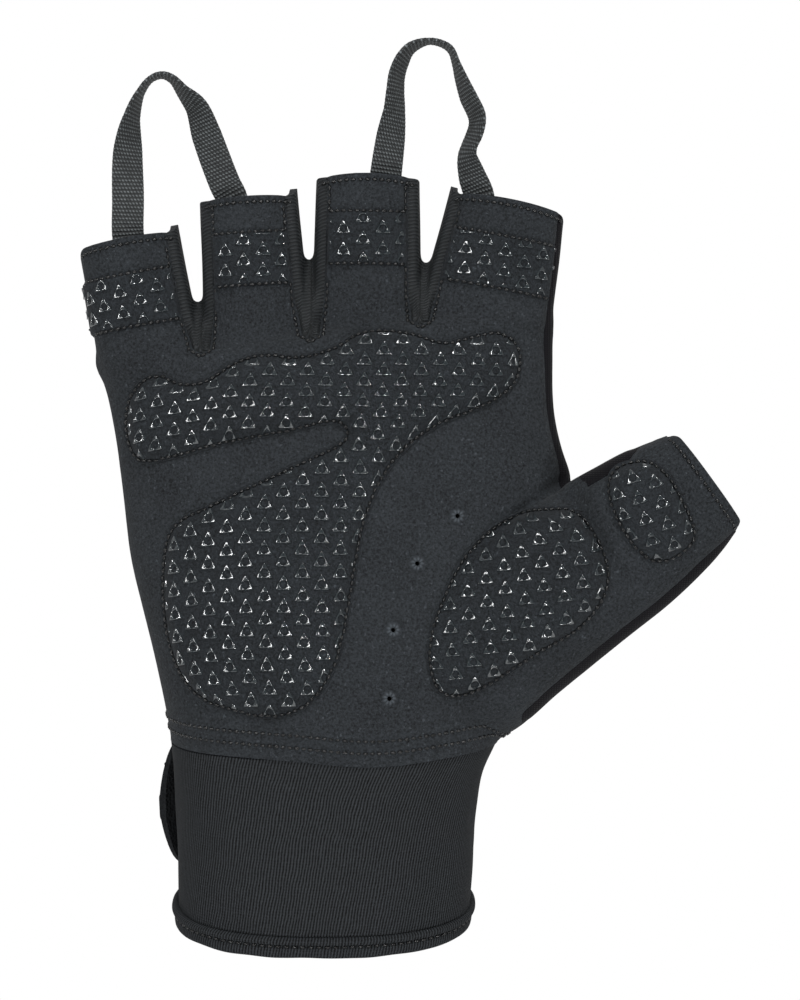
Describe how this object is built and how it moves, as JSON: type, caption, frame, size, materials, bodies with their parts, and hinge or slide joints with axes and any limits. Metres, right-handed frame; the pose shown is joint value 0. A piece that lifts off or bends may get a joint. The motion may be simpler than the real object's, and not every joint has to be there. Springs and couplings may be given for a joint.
{
  "type": "weightlifting glove",
  "caption": "Right-hand half-finger weightlifting glove with a padded printed palm, pull loops and a wrist cuff with a closure strap, in its worn form.",
  "frame": {"origin": "centre of the wrist opening, in the plane of the hem's lower edge at the sides", "axes": "+Z from the wrist opening to the fingertips, -Y out of the palm, +X to the thumb side"},
  "size_m": [0.1564, 0.051, 0.2149],
  "materials": {
    "suede": "synthetic suede, matt and softly napped, black",
    "back_knit": "stretch knit, matt black",
    "gusset_rib": "ribbed stretch tape, black",
    "pad_suede": "synthetic suede over foam, stitched down",
    "silicone_print": "glossy silicone print, black",
    "webbing": "woven polyester tape, charcoal",
    "neoprene": "neoprene faced with fine ribbed knit, black",
    "hook_tape": "hook-and-loop strap, black",
    "thread": "polyester sewing thread, black"
  },
  "bodies": {
    "root": {"palm_panel": "suede", "back_panel": "back_knit", "gusset_1": "gusset_rib", "gusset_2": "gusset_rib", "gusset_3": "gusset_rib", "main_grip_pad": "pad_suede", "thumb_base_pad": "pad_suede", "thumb_pad": "pad_suede", "little_finger_band": "silicone_print", "ring_finger_band": "silicone_print", "middle_finger_band": "silicone_print", "index_finger_band": "silicone_print", "pull_loop_left": "webbing", "pull_loop_right": "webbing", "wrist_cuff": "neoprene", "hem_band": "neoprene", "wrist_strap": "hook_tape"}
  },
  "joints": []
}
